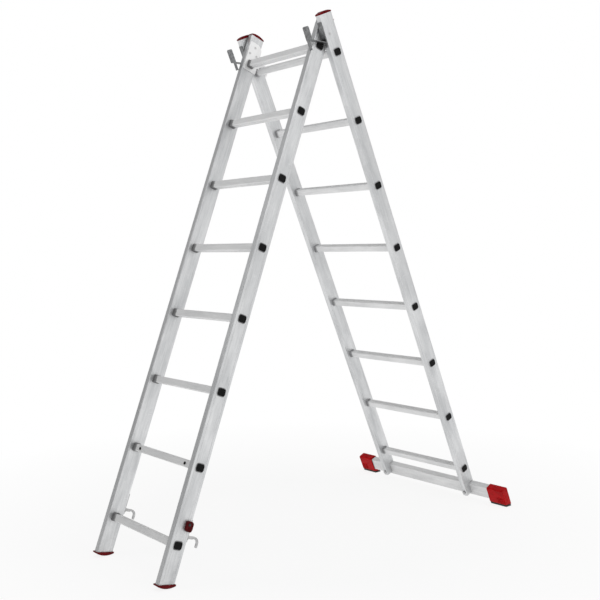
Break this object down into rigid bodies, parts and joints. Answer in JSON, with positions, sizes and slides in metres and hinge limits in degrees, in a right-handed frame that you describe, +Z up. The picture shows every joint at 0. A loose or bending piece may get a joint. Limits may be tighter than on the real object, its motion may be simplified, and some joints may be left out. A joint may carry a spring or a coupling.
{
  "type": "multi position ladder",
  "caption": "Aluminium ladder in two hinged sections, standing as an A-frame, with a wide stabiliser bar, guide brackets and extension hooks.",
  "frame": {"origin": "on the floor, at the centre of the open ladder's footprint box", "axes": "X across the ladder, along its rungs; Y from the front feet to the stabiliser bar; Z up"},
  "size_m": [0.926, 1.7242, 2.1123],
  "materials": {
    "aluminium": "mill-finished extrusion, satin with fine lengthwise drawing lines",
    "zinc_steel": "zinc-plated sheet steel, dull grey",
    "rivet_steel": "plated steel, satin",
    "red_plastic": "moulded, fine texture with a soft shine",
    "black_plastic": "moulded, matte",
    "rubber": "matte rubber"
  },
  "bodies": {
    "rear": {"guide_bracket_left": "zinc_steel", "guide_bracket_right": "zinc_steel", "guide_rivets": "rivet_steel", "rear_rung_1": "aluminium", "rear_rung_2": "aluminium", "rear_rung_3": "aluminium", "rear_rung_4": "aluminium", "rear_rung_5": "aluminium", "rear_rung_6": "aluminium", "rear_rung_7": "aluminium", "rear_rung_8": "aluminium", "rear_rung_plugs": "black_plastic", "rear_stile_left": "aluminium", "rear_stile_right": "aluminium", "rear_top_cap_left": "red_plastic", "rear_top_cap_right": "red_plastic", "stabiliser_bar": "aluminium", "stabiliser_bolts": "zinc_steel", "stabiliser_foot_left": "red_plastic", "stabiliser_foot_right": "red_plastic", "stabiliser_nuts": "zinc_steel", "stabiliser_sole_left": "rubber", "stabiliser_sole_right": "rubber"},
    "front": {"extension_hook_left": "zinc_steel", "extension_hook_right": "zinc_steel", "front_rung_1": "aluminium", "front_rung_2": "aluminium", "front_rung_3": "aluminium", "front_rung_4": "aluminium", "front_rung_5": "aluminium", "front_rung_6": "aluminium", "front_rung_7": "aluminium", "front_rung_8": "aluminium", "front_rung_plugs": "black_plastic", "front_shoe_left": "red_plastic", "front_shoe_right": "red_plastic", "front_stile_left": "aluminium", "front_stile_right": "aluminium", "front_top_cap_left": "red_plastic", "front_top_cap_right": "red_plastic", "hook_rivets": "rivet_steel", "latch_pin_left": "rivet_steel", "latch_pin_right": "rivet_steel", "latch_spring_left": "rivet_steel", "latch_spring_right": "rivet_steel", "pivot_plate_left": "zinc_steel", "pivot_plate_right": "zinc_steel", "pivot_rivets": "rivet_steel", "rung_rivets": "black_plastic"},
    "latch_right": {"latch_right": "red_plastic"},
    "latch_left": {"latch_left": "red_plastic"}
  },
  "joints": [
    {"name": "section_fold", "type": "hinge", "parent": "rear", "child": "front", "pos_m": [0, -0.0149, 1.95559], "axis": [1, 0, 0], "range_deg": [0, 42.8]},
    {"name": "latch_right_turn", "type": "hinge", "parent": "front", "child": "latch_right", "pos_m": [0.2453, -0.73289, 0.21191], "axis": [1, 0, 0], "range_deg": [0, 35], "stiffness_Nm_per_rad": 0.02, "springref_deg": -34.38},
    {"name": "latch_left_turn", "type": "hinge", "parent": "front", "child": "latch_left", "pos_m": [-0.2453, -0.73289, 0.21191], "axis": [1, 0, 0], "range_deg": [0, 35], "stiffness_Nm_per_rad": 0.02, "springref_deg": -34.38}
  ]
}
